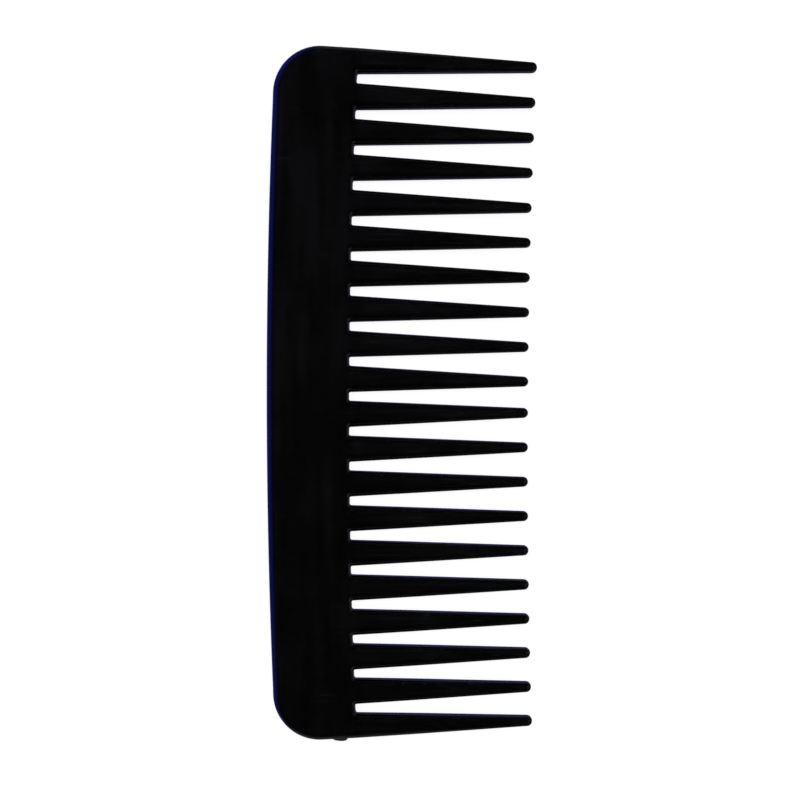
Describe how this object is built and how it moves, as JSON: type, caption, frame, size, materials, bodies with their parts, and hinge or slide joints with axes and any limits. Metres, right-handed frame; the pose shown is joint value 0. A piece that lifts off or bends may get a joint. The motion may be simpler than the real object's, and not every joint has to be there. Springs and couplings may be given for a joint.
{
  "type": "wide tooth comb",
  "caption": "Wide-tooth detangling comb: a flat, slightly bowed spine with rounded corners and long tapered teeth with round tips, for parting wet or curly hair.",
  "frame": {"origin": "under the middle of the comb, on the plane that it lies on", "axes": "+X from the spine towards the tooth tips, +Y along the spine, +Z through the thickness, up from the back face"},
  "size_m": [0.0712, 0.185, 0.0048],
  "materials": {
    "comb_plastic": "jet black moulded plastic, satin gloss on the faces and glossier on the rounded edges"
  },
  "bodies": {
    "root": {"spine": "comb_plastic", "tooth_01": "comb_plastic", "tooth_02": "comb_plastic", "tooth_03": "comb_plastic", "tooth_04": "comb_plastic", "tooth_05": "comb_plastic", "tooth_06": "comb_plastic", "tooth_07": "comb_plastic", "tooth_08": "comb_plastic", "tooth_09": "comb_plastic", "tooth_10": "comb_plastic", "tooth_11": "comb_plastic", "tooth_12": "comb_plastic", "tooth_13": "comb_plastic", "tooth_14": "comb_plastic", "tooth_15": "comb_plastic", "tooth_16": "comb_plastic", "tooth_17": "comb_plastic", "tooth_18": "comb_plastic", "tooth_19": "comb_plastic", "tooth_20": "comb_plastic"}
  },
  "joints": []
}
